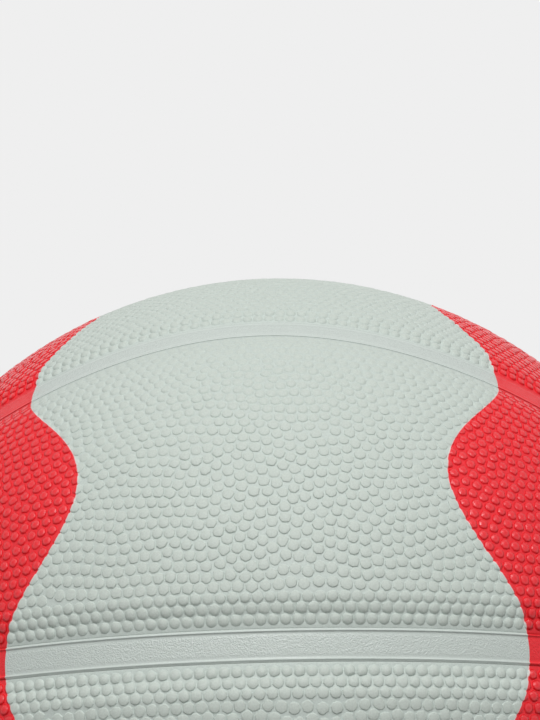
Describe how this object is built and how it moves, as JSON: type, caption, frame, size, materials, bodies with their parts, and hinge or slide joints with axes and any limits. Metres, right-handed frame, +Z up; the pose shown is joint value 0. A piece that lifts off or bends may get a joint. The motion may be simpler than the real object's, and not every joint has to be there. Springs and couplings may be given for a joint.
{
  "type": "basketball",
  "caption": "Inflated rubber basketball in pale grey-green and red: pebbled cover panels with smooth sunk seam strips round a wound core, and a needle valve.",
  "frame": {"origin": "centre of the ball", "axes": "+Z up, away from the flat the ball stands on; +X through the right-hand crossing of the belt seam and the ring seam; +Y out of the valve, away from the front"},
  "size_m": [0.239, 0.2407, 0.2405],
  "materials": {
    "panel": "satin moulded rubber, pebbled, pale grey-green with red ends",
    "strip": "fine leathery grain, pale grey-green with red ends",
    "carcass": "plain black rubber",
    "winding": "wound nylon thread",
    "bladder": "smooth butyl",
    "valve": "smooth moulded rubber",
    "plug": "smooth moulded rubber"
  },
  "bodies": {
    "ball": {"front_upper_panel": "panel", "front_lower_panel": "panel", "rear_upper_panel": "panel", "rear_lower_panel": "panel", "front_top_panel": "panel", "rear_top_panel": "panel", "front_bottom_panel": "panel", "rear_bottom_panel": "panel", "ring_strip": "strip", "belt_strip_front": "strip", "belt_strip_rear": "strip", "upper_loop_strip_front": "strip", "upper_loop_strip_rear": "strip", "lower_loop_strip_front": "strip", "lower_loop_strip_rear": "strip", "carcass": "carcass", "winding": "winding", "bladder": "bladder", "valve_body": "valve"},
    "valve_plug": {"valve_plug": "plug"}
  },
  "joints": [
    {"name": "valve_plug_pull", "type": "slide", "parent": "ball", "child": "valve_plug", "axis": [0, 1, 0], "range_m": [0, 0.02]}
  ]
}
